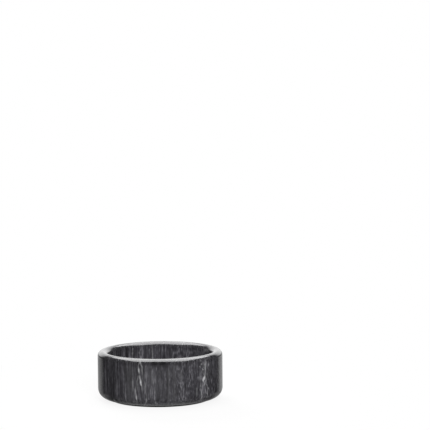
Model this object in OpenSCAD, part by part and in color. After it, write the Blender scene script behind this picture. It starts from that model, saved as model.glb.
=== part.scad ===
// Wine bottle coaster: a cup turned from one block of dark marble, with a full-round rim,
// standing on four rubber feet that are stuck to its ground underside.
// Millimetres, +Z up, the table is z = 0 and the cup's axis is the Z axis.

/* [Cup] */

// Inside diameter of the well
well_d = 80; // [70:1:110]
// Thickness of the wall, and so the width of the full-round rim
wall = 8; // [5:0.5:12]
// Height of the stone, from the ground underside to the top of the rim
cup_h = 36.5; // [25:0.5:60]
// Thickness of the stone under the well
floor_t = 8; // [5:0.5:14]
// Radius of the round between the outside wall and the underside
base_round = 8; // [2:0.5:12]
// Radius of the cove between the well's wall and its floor
cove_r = 3; // [1:0.5:6]

/* [Feet] */

// Diameter of one foot
foot_d = 12; // [8:0.5:16]
// Thickness of a foot's rubber
foot_t = 1.2; // [0.6:0.1:3]
// Radius of the round at a foot's lower edge
foot_edge = 0.3; // [0.1:0.05:0.5]
// Stone left bare between a foot and the start of the base round
foot_inset = 4; // [1:0.5:10]

/* [Adhesive] */

// Thickness of the adhesive disc that holds a foot to the stone
adhesive_t = 0.2; // [0.1:0.05:0.5]
// How far the adhesive stays back from the foot's edge
adhesive_inset = 0.4; // [0.1:0.1:1]

/* [Hidden] */

$fn = 180;

// Shared radii of the turned section
well_r = well_d / 2;
outer_r = well_r + wall;
rim_r = wall / 2;
// Height at which the straight wall ends and the rim's half circle begins
rim_spring = cup_h - rim_r;
// Flat ring of the underside that the feet are stuck to
base_flat_r = outer_r - base_round;
// The stone stands on the feet and their adhesive
cup_z = foot_t + adhesive_t;

foot_r = foot_d / 2;
foot_circle_r = base_flat_r - foot_inset - foot_r;
// Places of the feet, seen from above with the front towards -Y
PLACES = ["front_right", "rear_right", "rear_left", "front_left"];
PLACE_ANGLE = [-45, 45, 135, 225];

MARBLE = [0.25, 0.25, 0.27];
RUBBER = [0.05, 0.05, 0.05];
ADHESIVE = [0.86, 0.84, 0.76];

// Half section of the cup before the well is turned out
module blank_section() {
    square([base_flat_r, rim_spring]);
    translate([0, base_round]) square([outer_r, rim_spring - base_round]);
    translate([base_flat_r, base_round]) circle(base_round);
    translate([outer_r - rim_r, rim_spring]) circle(rim_r);
}

// Half section of what is turned out: the straight well, its cove and its flat floor
module well_section() {
    translate([0, floor_t + cove_r]) square([well_r, cup_h - floor_t - cove_r]);
    translate([0, floor_t]) square([well_r - cove_r, cup_h - floor_t]);
    translate([well_r - cove_r, floor_t + cove_r]) circle(cove_r);
}

// The cup, one piece of stone
module marble_cup() {
    color(MARBLE)
        translate([0, 0, cup_z])
            rotate_extrude()
                difference() {
                    blank_section();
                    well_section();
                }
}

// Moves a foot or its adhesive from the axis to one of the four places
module at_place(i) {
    rotate(PLACE_ANGLE[i]) translate([foot_circle_r, 0, 0]) children();
}

// A moulded rubber disc with its lower edge rounded
module foot(i) {
    color(RUBBER)
        at_place(i)
            rotate_extrude() {
                square([foot_r - foot_edge, foot_t]);
                translate([0, foot_edge]) square([foot_r, foot_t - foot_edge]);
                translate([foot_r - foot_edge, foot_edge]) circle(foot_edge);
            }
}

// The thin adhesive disc between a foot and the stone
module adhesive(i) {
    color(ADHESIVE)
        at_place(i)
            translate([0, 0, foot_t]) cylinder(r = foot_r - adhesive_inset, h = adhesive_t);
}

marble_cup();
for (i = [0 : len(PLACES) - 1]) {
    foot(i);
    adhesive(i);
}
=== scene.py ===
import math

import bpy
from mathutils import Matrix, Vector


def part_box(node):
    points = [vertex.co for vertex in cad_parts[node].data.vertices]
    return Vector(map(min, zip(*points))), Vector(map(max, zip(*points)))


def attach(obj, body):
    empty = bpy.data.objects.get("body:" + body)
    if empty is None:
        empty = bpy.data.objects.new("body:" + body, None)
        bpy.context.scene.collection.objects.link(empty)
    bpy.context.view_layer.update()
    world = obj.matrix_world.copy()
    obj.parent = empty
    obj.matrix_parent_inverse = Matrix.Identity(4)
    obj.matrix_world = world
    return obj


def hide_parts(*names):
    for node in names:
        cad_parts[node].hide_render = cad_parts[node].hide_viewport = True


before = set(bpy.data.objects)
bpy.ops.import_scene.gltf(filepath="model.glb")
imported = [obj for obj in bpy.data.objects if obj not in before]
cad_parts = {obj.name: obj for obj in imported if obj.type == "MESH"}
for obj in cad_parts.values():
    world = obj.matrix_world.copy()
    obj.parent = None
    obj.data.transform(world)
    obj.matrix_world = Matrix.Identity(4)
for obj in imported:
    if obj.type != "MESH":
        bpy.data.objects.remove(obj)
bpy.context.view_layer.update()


# The cup: one block of dark grey marble, turned on a lathe to a straight wall with a full-round rim,
# a rounded foot and a coved well, then polished. It carries everything else.
wall = 0.008
floor_thickness = 0.008
base_round = 0.008
cove = 0.003
# a hair under half the wall, so that the two sides of the rim meet without crossing
rim_round = wall * 0.4999
cup_low, cup_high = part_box("marble_cup")
cup_radius = min(cup_high.x, cup_high.y)
cup_height = cup_high.z - cup_low.z
well_radius = cup_radius - wall
well_floor = cup_low.z + floor_thickness


def ring_of_edges(mesh, height, radius, reach=0.0004):
    """Selects the edges that run around the axis at this height and radius."""
    for edge in mesh.edges:
        ends = [mesh.vertices[i].co for i in edge.vertices]
        edge.select = all(
            abs(end.z - height) < reach and abs(math.hypot(end.x, end.y) - radius) < reach
            for end in ends
        )


def rising_edges(mesh, rise):
    """Selects the edges whose ends differ in height by more than this."""
    for edge in mesh.edges:
        start, end = [mesh.vertices[i].co for i in edge.vertices]
        edge.select = abs(start.z - end.z) > rise


def middle_face(mesh, up, height, reach=0.0004):
    """Selects the flat face on the axis at this height that looks up, or down if up is -1."""
    for face in mesh.polygons:
        on_axis = math.hypot(face.center.x, face.center.y) < reach
        level = abs(face.center.z - height) < reach
        face.select = on_axis and level and face.normal.z * up > 0.99


def pick(piece, how, *where):
    """Leaves edit mode, selects with one of the functions above, and goes back in."""
    bpy.ops.mesh.select_all(action="DESELECT")
    bpy.ops.object.mode_set(mode="OBJECT")
    how(piece.data, *where)
    bpy.ops.object.mode_set(mode="EDIT")


bpy.ops.object.select_all(action="DESELECT")
bpy.ops.mesh.primitive_cylinder_add(
    vertices=288, radius=cup_radius, depth=cup_height,
    location=(0, 0, cup_low.z + cup_height / 2),
)
cup = bpy.context.object
cup.name = "turned_marble_cup"
bpy.ops.object.transform_apply(location=True, rotation=True, scale=True)
bpy.ops.object.mode_set(mode="EDIT")

# the well is sunk into the top face
bpy.ops.mesh.select_mode(type="FACE")
pick(cup, middle_face, 1, cup_high.z)
bpy.ops.mesh.inset(thickness=wall)
bpy.ops.mesh.extrude_region_move(
    TRANSFORM_OT_translate={"value": (0, 0, floor_thickness - cup_height)}
)

# both edges of the rim are rounded until they meet, then the foot and the cove
bpy.ops.mesh.select_mode(type="EDGE")
for height, radius, size, steps in (
    (cup_high.z, cup_radius, rim_round, 14),
    (cup_high.z, well_radius, rim_round, 14),
    (cup_low.z, cup_radius, base_round, 18),
    (well_floor, well_radius, cove, 9),
):
    pick(cup, ring_of_edges, height, radius)
    bpy.ops.mesh.bevel(offset=size, segments=steps, profile=0.5, affect="EDGES")

# a narrow ring keeps the floor and the ground underside flat up to their edges, with wide ones inside it
bpy.ops.mesh.select_mode(type="FACE")
for up, height in ((1, well_floor), (-1, cup_low.z)):
    pick(cup, middle_face, up, height)
    for width in (0.0003, 0.006, 0.008, 0.008, 0.008):
        bpy.ops.mesh.inset(thickness=width)
    bpy.ops.mesh.poke()

# the long upright faces of the wall and of the well are cut into rows
bpy.ops.mesh.select_mode(type="EDGE")
pick(cup, rising_edges, cup_height / 2)
bpy.ops.mesh.subdivide(number_cuts=22)
bpy.ops.mesh.select_all(action="SELECT")
bpy.ops.mesh.remove_doubles(threshold=0.000004)
bpy.ops.mesh.normals_make_consistent(inside=False)
bpy.ops.object.mode_set(mode="OBJECT")
bpy.ops.object.shade_smooth_by_angle(angle=math.radians(40))


class Shade:
    """A socket of a material's nodes. Arithmetic on it adds Math nodes."""

    def __init__(self, tree, socket=None):
        self.tree = tree
        self.socket = socket

    def node(self, kind, settings=None, sockets=None, out=0):
        """Adds any node: its settings first, then the values or links of its sockets."""
        made = self.tree.nodes.new(kind)
        for name, value in (settings or {}).items():
            if name == "stops":
                ramp = made.color_ramp.elements
                while len(ramp) < len(value):
                    ramp.new(1.0)
                for stop, (position, tint) in zip(ramp, value):
                    stop.position = position
                    stop.color = (*tint, 1.0)
            else:
                setattr(made, name, value)
        for name, value in (sockets or {}).items():
            if isinstance(value, Shade):
                self.tree.links.new(value.socket, made.inputs[name])
            else:
                made.inputs[name].default_value = value
        return Shade(self.tree, made.outputs[out])

    def parts(self, kind):
        """Takes a vector or a colour apart with a node of this kind, into three values."""
        split = self.node(kind, None, {0: self}).socket.node
        return [Shade(self.tree, part) for part in split.outputs]

    def math(self, operation, first, second=0.0):
        return self.node("ShaderNodeMath", {"operation": operation}, {0: first, 1: second})

    def __add__(self, other):
        return self.math("ADD", self, other)

    def __sub__(self, other):
        return self.math("SUBTRACT", self, other)

    def __rsub__(self, other):
        return self.math("SUBTRACT", other, self)

    def __mul__(self, other):
        return self.math("MULTIPLY", self, other)

    def __truediv__(self, other):
        return self.math("DIVIDE", self, other)

    def __abs__(self):
        return self.math("ABSOLUTE", self)

    __radd__ = __add__
    __rmul__ = __mul__

    def least(self, other):
        return self.math("MINIMUM", self, other)

    def most(self, other):
        return self.math("MAXIMUM", self, other)

    def step(self, low, high):
        """0 below low, 1 above high, with a smooth way between; low may be above high."""
        return self.node(
            "ShaderNodeMapRange", {"interpolation_type": "SMOOTHSTEP"},
            {"Value": self, "From Min": low, "From Max": high},
        )


def new_material(name):
    """An empty node material, as the start of its shader expressions."""
    made = bpy.data.materials.new(name)
    made.use_nodes = True
    made.node_tree.nodes.clear()
    return made, Shade(made.node_tree)


def finish_material(shade, shader):
    """Joins a shader to the material's output."""
    output = shade.tree.nodes.new("ShaderNodeOutputMaterial")
    shade.tree.links.new(shader.socket, output.inputs["Surface"])


# the stone's pattern is worked out in millimetres
mm = 1000.0
marble, stone = new_material("veined_dark_marble")
stone_at = stone.node(
    "ShaderNodeVectorMath", {"operation": "SCALE"},
    {0: stone.node("ShaderNodeTexCoord", out="Object"), "Scale": mm},
)
to_right, to_rear, upward = stone_at.parts("ShaderNodeSeparateXYZ")
above_base = upward - cup_low.z * mm
full_height = cup_height * mm
rise = above_base / full_height


def noise(where, detail, roughness=0.5, out=0):
    """Even noise with features about one unit across."""
    return stone.node(
        "ShaderNodeTexNoise", {"noise_dimensions": "3D"},
        {"Vector": where, "Scale": 1.0, "Detail": detail, "Roughness": roughness}, out,
    )


def stretched(where, sizes, turn=0.0, shift=(0, 0, 0)):
    """Turns about the axis and divides by the sizes of a feature, in millimetres."""
    return stone.node(
        "ShaderNodeMapping", {"vector_type": "TEXTURE"},
        {"Vector": where, "Location": shift, "Rotation": (0, 0, math.radians(turn)), "Scale": sizes},
    )


def bent(where, size, amount, shift):
    """Pushes the pattern about, so that nothing in the stone runs quite straight."""
    push = noise(stretched(where, size, 0, shift), 1.0, 0.5, 1)
    push = stone.node("ShaderNodeVectorMath", {"operation": "SUBTRACT"}, {0: push, 1: (0.5, 0.5, 0.5)})
    return stone.node(
        "ShaderNodeVectorMath", {"operation": "MULTIPLY_ADD"},
        {0: push, 1: (amount, amount, amount), 2: where},
    )


# beds of the stone stand upright and face 20 degrees to the right of the front, which is at -90
bed_turn = 20.0 - 90.0
wavy = bent(stone_at, (14, 14, 60), 1.6, (31, 7, 3))
wavy = bent(wavy, (3, 3, 12), 0.3, (5, 17, 9))

broad = noise(stretched(wavy, (3.2, 6, 60), bed_turn, (2, 4, 8)), 2.0)
streak = noise(stretched(wavy, (1.2, 2.0, 17), bed_turn, (9, 2, 1)), 2.0, 0.55)
thread = noise(stretched(wavy, (0.8, 1.2, 24), bed_turn, (4, 11, 6)), 1.0)
grain = noise(stretched(wavy, (0.9, 1.3, 3.5), bed_turn, (6, 1, 14)), 2.0)
cloud = noise(stretched(stone_at, (34, 34, 40), 0, (12, 3, 20)), 1.0)
# towards the right the streaks give way to short mottles
mottled = to_right.step(0.0, 14.0)
tone = 0.5 + (broad - 0.5) * 0.9 + (cloud - 0.5) * 0.3
tone = tone + ((streak - 0.5) * 1.1 + (thread - 0.5) * 0.9) * (1 - mottled * 0.5)
tone = tone + (grain - 0.5) * (0.8 + mottled * 0.8) + mottled * 0.03

ground = stone.node(
    "ShaderNodeValToRGB",
    {"stops": (
        (0.10, (0.0200, 0.0193, 0.0220)),
        (0.42, (0.0435, 0.0420, 0.0478)),
        (0.62, (0.0690, 0.0670, 0.0755)),
        (0.95, (0.1700, 0.1660, 0.1820)),
    )},
    {"Fac": tone},
)
bumpy = bent(stone_at, (2.2, 2.2, 5), 0.55, (5, 7, 9))


def sheet_place(angle, lean):
    """An upright sheet that meets the outside wall at an angle from the front and leans from the radius.
    Gives the millimetres across it, and how far its veins show: fully at the wall, not deep inside."""
    meets, runs = math.radians(angle), math.radians(angle + lean)
    at_wall = Vector((math.sin(meets), -math.cos(meets), 0)) * cup_radius * mm
    across = Vector((math.cos(runs), math.sin(runs), 0))
    outward = Vector((math.sin(runs), -math.cos(runs), 0))
    sideways, depth = [
        stone.node("ShaderNodeVectorMath", {"operation": "DOT_PRODUCT"}, {0: bumpy, 1: way}, "Value")
        - way.dot(at_wall)
        for way in (across, outward)
    ]
    return sideways, depth.step(-14.0, -5.0)


def strand(sheet, stations):
    """One strand in a sheet, through stations of height, side offset, half width and strength."""
    sideways, shows = sheet
    span, widest = 16.0, 8.0
    stops = [
        (high / full_height, (0.5 + side / span, half / widest, strength))
        for high, side, half, strength in stations
    ]
    ramp = stone.node("ShaderNodeValToRGB", {"stops": stops}, {"Fac": rise})
    middle, width, weight = ramp.parts("ShaderNodeSeparateColor")
    off = abs(sideways - (middle - 0.5) * span) / (width * widest)
    return off.step(1.0, 0.1) * weight * shows


# two pale sheets cross the front of the cup: a forked vein on the left and a web on the right,
# with soft smears between them
left_sheet = sheet_place(-18.5, 12)
right_sheet = sheet_place(45.5, -10)
middle_sheet = sheet_place(-5.0, 0)
inner_sheet = sheet_place(13.0, -5)
foot_sheet = sheet_place(-51.0, 0)
beside_web = sheet_place(35.0, 0)
forked_vein = (
    (
        (10.5, 1.3, 0.6, 0.00), (16.0, 1.2, 0.7, 0.22), (17.8, 0.6, 0.95, 0.72), (19.4, 0.5, 1.1, 0.95),
        (21.0, 0.3, 0.9, 0.65), (23.3, -0.3, 0.9, 0.42), (25.3, -0.4, 0.6, 0.10), (27.4, -0.8, 0.9, 0.50),
        (28.8, -0.9, 1.0, 0.72), (30.2, -1.0, 0.8, 0.30), (32.0, -1.2, 0.6, 0.15), (34.0, -0.3, 0.9, 0.40),
        (35.4, -0.1, 0.8, 0.10),
    ),
    (
        (12.0, -2.3, 0.7, 0.00), (15.0, -2.3, 0.8, 0.14), (20.0, -2.2, 0.8, 0.16), (23.5, -1.6, 0.8, 0.16),
        (25.5, -1.2, 0.6, 0.00),
    ),
    (
        (12.0, 2.2, 0.8, 0.00), (16.0, 2.2, 0.9, 0.05), (24.0, 2.1, 0.9, 0.05), (27.0, 1.8, 0.7, 0.00),
    ),
    (
        (24.5, 2.0, 0.6, 0.00), (28.0, 1.6, 0.7, 0.20), (31.0, 1.6, 0.8, 0.30), (34.0, 0.4, 0.9, 0.45),
        (35.4, 0.2, 0.8, 0.10),
    ),
    (
        (2.0, -2.9, 0.6, 0.10), (5.2, -2.9, 0.7, 0.20), (6.6, -2.9, 0.8, 0.50), (7.8, -3.0, 0.9, 0.68),
        (9.4, -3.2, 0.8, 0.40), (11.3, -3.8, 0.8, 0.30), (14.0, -3.9, 0.7, 0.20), (16.5, -3.2, 0.6, 0.00),
    ),
    (
        (11.0, -5.6, 0.9, 0.00), (14.0, -5.6, 1.0, 0.12), (18.6, -5.8, 0.9, 0.20), (23.0, -5.8, 0.8, 0.00),
    ),
    (
        (1.5, 2.6, 0.8, 0.30), (3.0, 4.0, 0.7, 0.20), (5.2, 4.7, 0.8, 0.32), (8.0, 4.8, 0.7, 0.06),
        (12.0, 4.0, 0.8, 0.14), (17.5, 4.0, 0.8, 0.18), (21.0, 3.2, 0.7, 0.00),
    ),
)
webbed_vein = (
    (
        (10.0, -1.3, 0.8, 0.00), (11.7, -1.3, 0.9, 0.06), (13.3, -1.2, 0.6, 0.04), (14.9, -1.1, 0.9, 0.20),
        (16.2, -1.7, 0.6, 0.10), (18.0, -2.5, 1.0, 0.60), (19.3, -1.9, 1.7, 1.00), (20.4, -1.5, 1.5, 1.00),
        (21.6, -0.9, 0.9, 0.40), (22.8, -0.4, 0.7, 0.26), (24.5, -0.2, 0.8, 0.30), (28.5, -0.2, 1.0, 0.42),
        (30.5, -0.2, 1.1, 0.46), (32.5, -0.1, 0.8, 0.20), (34.2, 0.0, 0.7, 0.00),
    ),
    (
        (4.0, 2.9, 0.7, 0.00), (5.3, 2.9, 0.9, 0.20), (6.5, 2.0, 0.6, 0.04), (7.9, 1.5, 1.0, 0.27),
        (9.8, 2.0, 0.6, 0.05), (11.5, 2.8, 0.9, 0.30), (13.2, 2.0, 0.6, 0.06), (14.6, 1.3, 0.9, 0.26),
        (15.3, 0.2, 0.6, 0.04), (16.1, -0.8, 0.8, 0.22), (17.4, 0.1, 0.9, 0.32), (18.8, 1.0, 0.8, 0.18),
        (20.2, 1.4, 0.6, 0.00), (27.6, 3.4, 0.6, 0.00), (29.6, 3.6, 1.1, 0.38), (31.6, 3.6, 0.7, 0.00),
    ),
    (
        (2.8, -4.0, 0.8, 0.08), (4.5, -4.1, 1.0, 0.30), (6.0, -4.1, 0.8, 0.10), (7.7, -4.2, 1.2, 0.30),
        (9.6, -4.4, 0.8, 0.10), (11.5, -4.5, 0.9, 0.18), (13.0, -4.8, 0.7, 0.06), (14.6, -5.2, 0.9, 0.24),
        (16.5, -5.4, 0.7, 0.06), (20.0, -5.6, 0.9, 0.20), (24.5, -5.4, 0.7, 0.00),
    ),
    (
        (25.8, -2.2, 0.7, 0.00), (27.0, -2.6, 1.1, 0.30), (28.0, -4.2, 0.5, 0.00), (29.3, -5.8, 1.1, 0.28),
        (30.2, -4.9, 0.5, 0.00), (31.0, -3.9, 1.1, 0.32), (32.2, -4.4, 0.6, 0.02), (33.5, -4.9, 1.0, 0.28),
        (34.6, -4.9, 0.7, 0.00),
    ),
)
smears = (
    (right_sheet, (
        (0.5, -0.6, 5.0, 0.01), (10.0, -0.6, 6.5, 0.01), (30.0, 0.2, 7.5, 0.03), (35.0, 0.2, 7.0, 0.02),
    )),
    (left_sheet, (
        (0.5, -7.9, 7.0, 0.02), (14.0, -7.9, 8.0, 0.045), (30.0, -7.9, 8.0, 0.045), (35.0, -7.9, 7.0, 0.02),
    )),
    (middle_sheet, (
        (16.5, -1.6, 1.6, 0.00), (20.5, -1.7, 2.0, 0.08), (26.0, -1.8, 1.8, 0.06), (30.0, -2.0, 1.6, 0.00),
    )),
    (middle_sheet, (
        (1.8, 0.4, 0.7, 0.00), (3.6, 0.4, 0.8, 0.28), (5.6, 0.3, 0.6, 0.00),
    )),
    (foot_sheet, (
        (0.8, 1.5, 1.2, 0.00), (1.7, 1.5, 1.7, 0.75), (2.8, 1.4, 1.4, 0.60), (4.2, 1.5, 0.8, 0.00),
    )),
    (middle_sheet, (
        (9.5, 0.3, 1.5, 0.00), (12.0, 0.3, 1.6, 0.05), (16.0, 0.2, 1.4, 0.02), (24.5, 0.2, 1.5, 0.03),
        (27.0, 0.3, 1.3, 0.00),
    )),
    (inner_sheet, (
        (1.0, -4.4, 1.6, 0.06), (9.0, -4.5, 1.6, 0.03), (20.0, -4.5, 1.8, 0.03), (27.0, -4.6, 2.0, 0.06),
        (31.0, -4.6, 1.6, 0.00),
    )),
    (inner_sheet, (
        (1.0, -0.3, 2.6, 0.03), (30.0, -0.3, 2.6, 0.03),
    )),
    (beside_web, (
        (6.0, 0.0, 0.8, 0.00), (8.0, 0.0, 1.0, 0.13), (12.5, 0.0, 1.0, 0.15), (14.5, 0.0, 0.8, 0.00),
    )),
    (inner_sheet, (
        (8.0, 5.2, 1.8, 0.01), (18.0, 5.1, 1.7, 0.02), (24.0, 5.2, 2.0, 0.07), (29.5, 5.0, 1.7, 0.00),
    )),
)


def upturned(vein):
    """The same strands upside down and the other way round."""
    return [
        [
            (full_height - high, -side, half, strength)
            for high, side, half, strength in reversed(stations)
        ]
        for stations in vein
    ]


# the sides and the rear have a few like them
main_strands = forked_vein[:1] + forked_vein[3:5]
veins = (
    (left_sheet, forked_vein),
    (right_sheet, webbed_vein),
    (sheet_place(104.0, 10), upturned(main_strands)),
    (sheet_place(208.0, 8), upturned(webbed_vein)),
    (sheet_place(254.0, -12), main_strands),
)
pale = 0.0
for sheet, vein in veins:
    for stations in vein:
        pale = strand(sheet, stations) + pale
for sheet, stations in smears:
    pale = strand(sheet, stations) + pale
fleck = noise(stretched(stone_at, (1.5, 1.5, 4), 0, (3, 3, 3)), 2.0, 0.6)
pale = pale * (0.6 + fleck.step(0.3, 0.65) * 0.5)

# between the strands of the right sheet the stone is webbed with fine lines
web = abs(noise(stretched(bumpy, (2.0, 2.0, 5), 0, (1, 6, 2)), 1.0) - 0.5).step(0.05, 0.0)
from_web, web_shows = right_sheet
web_zone = abs(from_web + 0.4).step(7.0, 2.5) * web_shows

# further thin seams run through the rear of the block, each twice this distance from the next
half_spacing = 8.0
drift = noise(stretched(stone_at, (24, 24, 70), 0, (8, 3, 5)), 1.0) * 16
across_seams = stone.node(
    "ShaderNodeVectorMath", {"operation": "DOT_PRODUCT"}, {0: wavy, 1: (0.94, 0.34, 0)}, "Value",
)
seam = stone.math("PINGPONG", across_seams + drift, half_spacing).step(0.35, 0.0)
seam_zone = noise(stretched(stone_at, (16, 16, 30), 0, (2, 9, 4)), 1.0).step(0.46, 0.62)
seam_zone = seam_zone * to_rear.step(-22.0, 0.0)
pale = (pale + web * web_zone * 0.12 + seam * seam_zone * 0.4).least(1.0)
pale_stone = (0.66, 0.66, 0.675, 1.0)
colour = stone.node(
    "ShaderNodeMix", {"data_type": "RGBA"}, {"Factor": pale, 6: ground, 7: pale_stone}, 2,
)

# the colour is darker in a patch under the middle of the rim; painted shade darkens both ends of the front,
# and a band of painted shade runs from just under the rim over the whole rim
shade_and_patch_colour = (0.0100, 0.0098, 0.0110, 1.0)
under_rim = (29.4, 0, 5.6, 0.0), (30.8, 0, 5.6, 0.42), (32.6, 0, 5.6, 0.95), (36.5, 0, 5.6, 0.95)
painted_shade_left = (0.5, 0, 8.0, 0.28), (36.0, 0, 8.0, 0.28)
painted_shade_right = (0.5, 0, 4.0, 0.30), (36.0, 0, 4.0, 0.40)
# painted shade from just under the rim upward, over the whole rim
painted_shade_and_patch = above_base.step(30.0, 33.0) * 0.3
# then the patch under the rim, and painted shade at both ends of the front
for angle, stations in ((-5.0, under_rim), (2.5, under_rim), (-50.0, painted_shade_left), (64.0, painted_shade_right)):
    painted_shade_and_patch = painted_shade_and_patch.most(strand(sheet_place(angle, 0), stations))
colour = stone.node(
    "ShaderNodeMix", {"data_type": "RGBA"}, {"Factor": painted_shade_and_patch, 6: colour, 7: shade_and_patch_colour}, 2,
)

# the wall is honed, the rim polished
rim_start = (cup_height - wall / 2) * mm
rim = above_base.step(rim_start - 0.4, rim_start + 0.8)
polish = 0.19 + (streak - 0.5) * 0.16 - pale * 0.04
nap = (noise(stretched(stone_at, (0.5, 0.5, 0.7)), 2.0) * 0.4 + streak * 0.6) * (1 - rim * 0.92)
bump = stone.node("ShaderNodeBump", None, {"Strength": 0.1, "Distance": 0.0002, "Height": nap})
finish_material(stone, stone.node(
    "ShaderNodeBsdfPrincipled", None,
    {"Base Color": colour, "Roughness": polish, "IOR": 1.45, "Normal": bump,
     "Coat Weight": rim * (0.95 + (thread - 0.5) * 0.12), "Coat Roughness": 0.16, "Coat IOR": 1.8},
))
cup.data.materials.append(marble)
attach(cup, "root")
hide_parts("marble_cup")


# Four moulded rubber feet, stuck under the cup so that the stone neither slides nor scratches.
# Each is a low disc with a rounded lower edge and a shallow dish where it grips the table.
foot_edge = 0.0003
dish_depth = 0.00015
corners = ("front_right", "rear_right", "rear_left", "front_left")
foot_low, foot_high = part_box("foot_" + corners[0])
foot_radius = (foot_high.x - foot_low.x) / 2
foot_thickness = foot_high.z - foot_low.z
grip_ring = foot_radius * 0.35
dish_slope = foot_radius * 0.06
dish_ring = foot_radius * 0.2

rubber, gum = new_material("matt_black_rubber")
gum_at = gum.node("ShaderNodeTexCoord", out="Object")
speck = gum.node("ShaderNodeTexNoise", None, {"Vector": gum_at, "Scale": 2600.0, "Detail": 3.0})
patch = gum.node("ShaderNodeTexNoise", None, {"Vector": gum_at, "Scale": 240.0, "Detail": 2.0})
black = gum.node(
    "ShaderNodeValToRGB",
    {"stops": ((0.3, (0.012, 0.012, 0.012)), (0.7, (0.028, 0.027, 0.026)))},
    {"Fac": speck * 0.5 + patch * 0.5},
)
grip = gum.node("ShaderNodeBump", None, {"Strength": 0.3, "Distance": 0.0001, "Height": speck})
finish_material(gum, gum.node(
    "ShaderNodeBsdfPrincipled", None,
    {"Base Color": black, "Roughness": 0.62 + patch * 0.2, "IOR": 1.5, "Normal": grip},
))

bpy.ops.object.select_all(action="DESELECT")
bpy.ops.mesh.primitive_cylinder_add(
    vertices=96, radius=foot_radius, depth=foot_thickness, location=(foot_low + foot_high) / 2,
)
first_foot = bpy.context.object
bpy.ops.object.mode_set(mode="EDIT")
bpy.ops.mesh.select_mode(type="FACE")
pick(first_foot, middle_face, -1, -foot_thickness / 2)
bpy.ops.mesh.bevel(offset=foot_edge, segments=5, profile=0.5, affect="EDGES")
pick(first_foot, middle_face, -1, -foot_thickness / 2)
bpy.ops.mesh.inset(thickness=grip_ring)
bpy.ops.mesh.inset(thickness=dish_slope)
bpy.ops.transform.translate(value=(0, 0, dish_depth))
bpy.ops.mesh.inset(thickness=dish_ring)
bpy.ops.object.mode_set(mode="OBJECT")
bpy.ops.object.transform_apply(location=True, rotation=True, scale=True)
bpy.ops.object.shade_smooth_by_angle(angle=math.radians(35))
first_foot.data.materials.append(rubber)

# the other feet are copies of it, each made from the one before
feet = [first_foot]
stands_at = (foot_low + foot_high) / 2
for corner in corners[1:]:
    corner_low, corner_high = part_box("foot_" + corner)
    goes_to = (corner_low + corner_high) / 2
    bpy.ops.object.duplicate_move(TRANSFORM_OT_translate={"value": goes_to - stands_at})
    bpy.ops.object.transform_apply(location=True, rotation=True, scale=True)
    feet.append(bpy.context.object)
    stands_at = goes_to
for corner, foot in zip(corners, feet):
    foot.name = "rubber_foot_" + corner
    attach(foot, "root")
    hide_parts("foot_" + corner)


# Four thin discs of cream adhesive between the feet and the stone. They are cut a little smaller
# than the feet, so only a shadow line shows between rubber and marble.
glue, film = new_material("cream_adhesive")
film_at = film.node("ShaderNodeTexCoord", out="Object")
smear = film.node("ShaderNodeTexNoise", None, {"Vector": film_at, "Scale": 900.0, "Detail": 3.0})
cream = film.node(
    "ShaderNodeValToRGB",
    {"stops": ((0.3, (0.62, 0.58, 0.46)), (0.7, (0.76, 0.73, 0.62)))},
    {"Fac": smear},
)
finish_material(film, film.node(
    "ShaderNodeBsdfPrincipled", None,
    {"Base Color": cream, "Roughness": 0.45 + smear * 0.2, "IOR": 1.47},
))
for name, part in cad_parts.items():
    if name.startswith("adhesive_"):
        part.data.materials.clear()
        part.data.materials.append(glue)


# The table: a pale floor that takes the cup's shadow, and that the camera sees fade to white
# around it. The polish mirrors only a narrow strip of it around the foot.
table_radius = 6.0
under_cup = cup_radius - base_round


def plainly_seen(shade):
    """1 for what the camera sees straight or through something clear, otherwise 0."""
    straight = shade.node("ShaderNodeLightPath", out="Is Camera Ray")
    return straight.most(shade.node("ShaderNodeLightPath", out="Is Transmission Ray"))


def grey(level):
    """A colour with this level in all three of its channels."""
    return level.node("ShaderNodeCombineColor", None, {"Red": level, "Green": level, "Blue": level})


bpy.ops.object.select_all(action="DESELECT")
bpy.ops.mesh.primitive_circle_add(vertices=128, radius=table_radius, fill_type="NGON")
table = bpy.context.object
table.name = "table"
pale_table, top = new_material("pale_table")
top_at = top.node("ShaderNodeTexCoord", out="Object")
away = top.node("ShaderNodeVectorMath", {"operation": "LENGTH"}, {0: top_at}, "Value")
table_seen = plainly_seen(top)
# under the cup the table's colour is darkened and its white glow left out: a painted shadow
clear_of_painted_shadow = away.step(under_cup - 0.003, under_cup - 0.002)
shadowed = top.node("ShaderNodeBsdfDiffuse", None, {"Color": grey(0.2 + clear_of_painted_shadow * 0.7)})
glow = table_seen + (1 - table_seen) * clear_of_painted_shadow * 0.25
white = top.node("ShaderNodeEmission", None, {"Color": grey(glow)})
share = table_seen * clear_of_painted_shadow * (0.88 + away.step(0.06, 0.2) * 0.12) + (1 - table_seen)
plain = top.node("ShaderNodeMixShader", None, {0: share, 1: shadowed, 2: white})

# the strip that the polish mirrors is dark under the foot's edge, a painted shadow; it is brightest
# straight in front and close to the foot, and stays lit further out at the sides; past it the polish
# mirrors the studio through the table
forward = top_at.parts("ShaderNodeSeparateXYZ")[1] * -1.0 / away
in_front = forward.step(0.6, 1.0)
at_sides = forward.step(0.5, 0.15)
# painted shadow in the mirrored strip under the foot's edge
past_foot = away.step(0.038, 0.0425)
fading = 1 - away.step(0.043, 0.048) * 0.6
lit = ((0.24 + in_front * 0.4) * fading + at_sides * 0.28) * past_foot
strip = top.node("ShaderNodeEmission", None, {"Color": grey(lit)})
clear = top.node("ShaderNodeBsdfTransparent")
reflected = top.node("ShaderNodeMixShader", None, {0: away.step(0.056, 0.066), 1: strip, 2: clear})
glossy_ray = top.node("ShaderNodeLightPath", out="Is Glossy Ray")
finish_material(top, top.node("ShaderNodeMixShader", None, {0: glossy_ray, 1: plain, 2: reflected}))
table.data.materials.append(pale_table)


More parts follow.
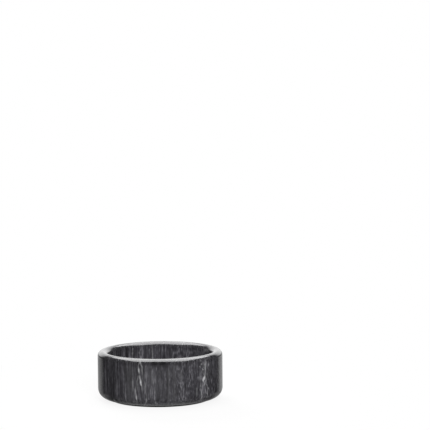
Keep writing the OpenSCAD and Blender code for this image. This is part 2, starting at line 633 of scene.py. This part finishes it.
# The light: a white backdrop behind and a dark room in front, a soft box overhead that the rim
# mirrors, and soft fills for the wall.
studio = bpy.data.worlds.new("studio")
bpy.context.scene.world = studio
studio.use_nodes = True
studio.node_tree.nodes.clear()
room = Shade(studio.node_tree)
room_seen = plainly_seen(room)
look = room.node("ShaderNodeTexCoord", out="Generated")
look_right, look_back, look_up = look.parts("ShaderNodeSeparateXYZ")
low_backdrop = (look_back - look_right * 0.03).step(0.65, 0.79) * (1 + look_right * 0.3) * 0.58
low_backdrop = low_backdrop * look_up.step(0.02, -0.14)
high_backdrop = look_back.step(0.68, 0.83) * (look_up + (look_back - 1) * 0.8).step(-0.12, 0.06) * 1.05
front_floor = look_back.step(-0.5, -0.95) * look_up.step(0.04, -0.12) * 0.33
straight_down = look_up.step(-0.5, -0.75)
room_light = (low_backdrop + high_backdrop + front_floor) * (1 - straight_down)
room_light = room_light + straight_down * 0.4 + 0.03
room_light = room_light * (1 - room_seen) + room_seen
backdrop = room.node("ShaderNodeBackground", None, {"Color": grey(room_light)})
room_output = studio.node_tree.nodes.new("ShaderNodeOutputWorld")
studio.node_tree.links.new(backdrop.socket, room_output.inputs["Surface"])


def soft_box(name, stand, aim, width, depth, watts, lights, mirrored):
    """An area lamp that the camera doesn't see. It lights the colours, or shows in the polish."""
    lamp = bpy.data.lights.new(name, "AREA")
    lamp.shape = "RECTANGLE"
    lamp.size, lamp.size_y = width, depth
    lamp.energy = watts
    box = bpy.data.objects.new(name, lamp)
    bpy.context.scene.collection.objects.link(box)
    box.location = stand
    box.rotation_euler = (Vector(aim) - Vector(stand)).to_track_quat("-Z", "Y").to_euler()
    box.visible_camera = False
    box.visible_diffuse = lights
    box.visible_glossy = mirrored


soft_box("overhead_box", (0, 0.16, 0.55), (0, 0.16, 0), 0.84, 0.88, 7.35, lights=False, mirrored=True)
soft_box("overhead_fill", (0, 0.1, 0.8), (0, 0, 0), 0.6, 0.6, 4.0, lights=True, mirrored=False)
soft_box("front_fill", (0.2, -1.18, 0.5), (0, 0, 0.02), 0.4, 0.4, 15.5, lights=True, mirrored=False)
soft_box("rear_fill", (-0.45, 1.2, 0.6), (0, 0, 0.02), 0.6, 0.6, 11.0, lights=True, mirrored=False)


# The camera stands about two metres away with a long lens, a little above the table, and frames
# the cup low and to the left, as in the photograph.
picture = 430
distance = 2.0
elevation = math.radians(9.47)
pixels_per_metre = 1296.0
cup_at = Vector((160.25, 373.35))
roll = math.radians(-0.48)

focal = pixels_per_metre * distance
lens = bpy.data.cameras.new("long_lens")
lens.sensor_width = 36.0
lens.lens = focal / picture * lens.sensor_width
lens.clip_start, lens.clip_end = 0.05, 60.0
camera = bpy.data.objects.new("camera", lens)
bpy.context.scene.collection.objects.link(camera)
bpy.context.scene.camera = camera
cup_middle = Vector((0, 0, cup_low.z + cup_height / 2))
from_cup = Vector((0, -math.cos(elevation), math.sin(elevation))) * distance
camera.location = cup_middle + from_cup

# the camera is rolled, tipped and swung until the cup's middle falls on its pixel
aside = (cup_at.x - picture / 2) / focal
below = (cup_at.y - picture / 2) / focal
rolled = Matrix.Rotation(roll, 3, "Z")
glance = rolled @ Vector((aside, -below, -1.0))
droop = math.asin(-glance.length * math.sin(elevation) / math.hypot(glance.y, glance.z))
tipped = Matrix.Rotation(droop - math.atan2(glance.z, glance.y), 3, "X")
ahead = tipped @ glance
swung = Matrix.Rotation(math.atan2(ahead.x, ahead.y), 3, "Z")
camera.rotation_euler = (swung @ tipped @ rolled).to_euler()

bpy.context.scene.view_settings.view_transform = "Standard"
bpy.context.view_layer.update()
